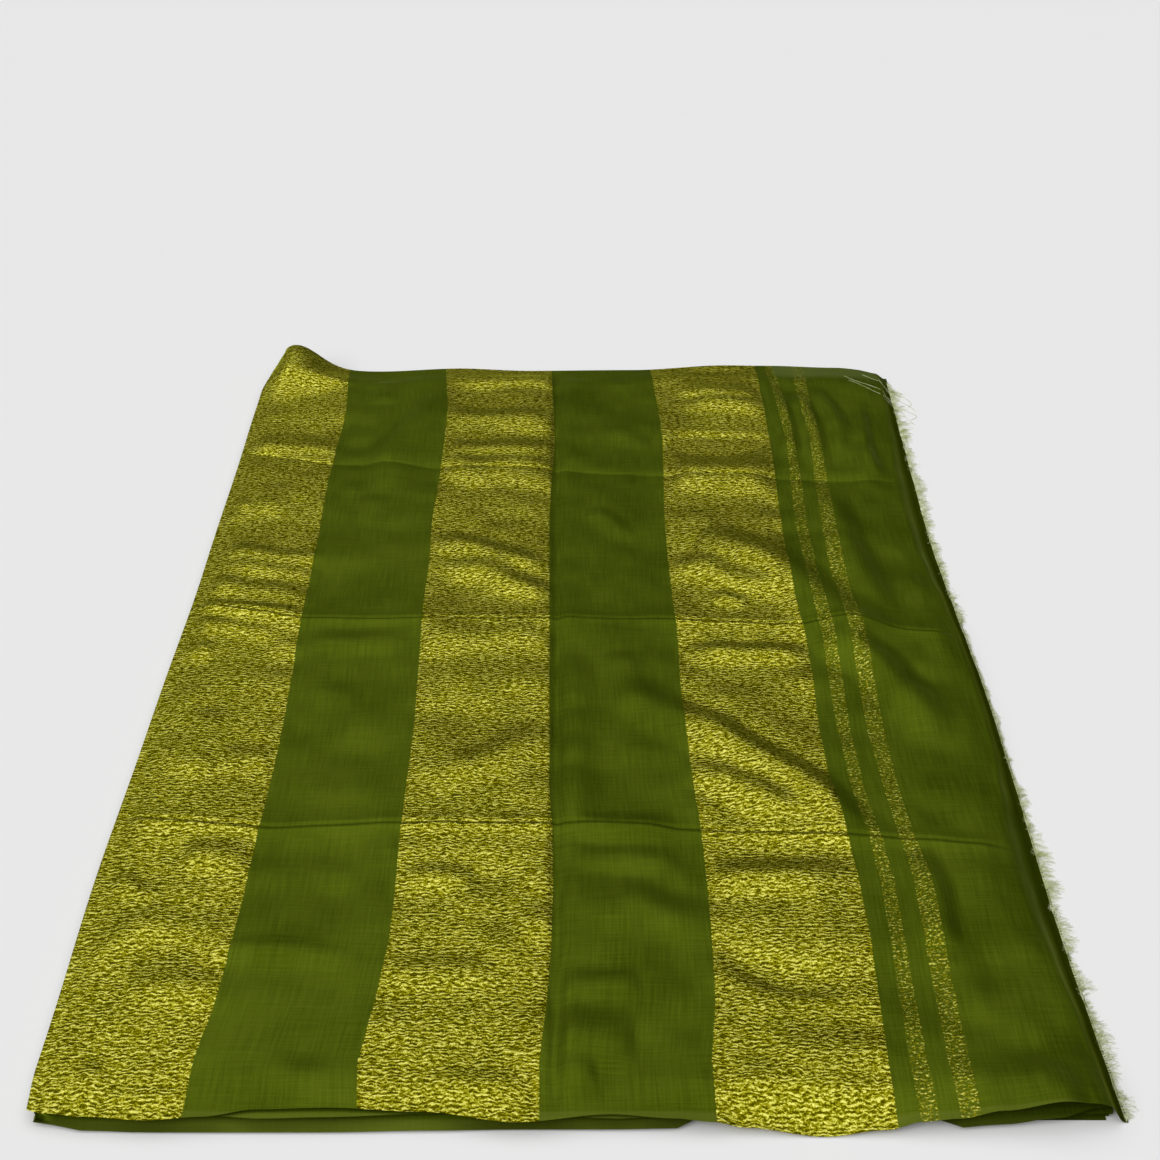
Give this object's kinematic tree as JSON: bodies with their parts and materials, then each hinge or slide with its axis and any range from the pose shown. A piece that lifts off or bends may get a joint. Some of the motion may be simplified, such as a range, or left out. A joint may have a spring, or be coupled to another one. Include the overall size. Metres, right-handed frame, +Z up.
{
  "type": "folded silk sari",
  "caption": "Handwoven tussar silk sari folded back and forth into a flat stack, pallu with wide zari bands on top and loose warp threads at its end.",
  "frame": {"origin": "middle of the underside's box, on the surface that the folded sari lies on", "axes": "+X along the cloth's length towards the fringed end, +Y across the cloth's width away from the viewer, +Z up"},
  "size_m": [0.7284, 1.1204, 0.0343],
  "materials": {
    "tussar_silk": "green tussar silk with gold zari bands",
    "loose_threads": "pale green loose silk threads"
  },
  "bodies": {
    "root": {"sari_cloth": "tussar_silk", "pallu_fringe": "loose_threads"}
  },
  "joints": []
}
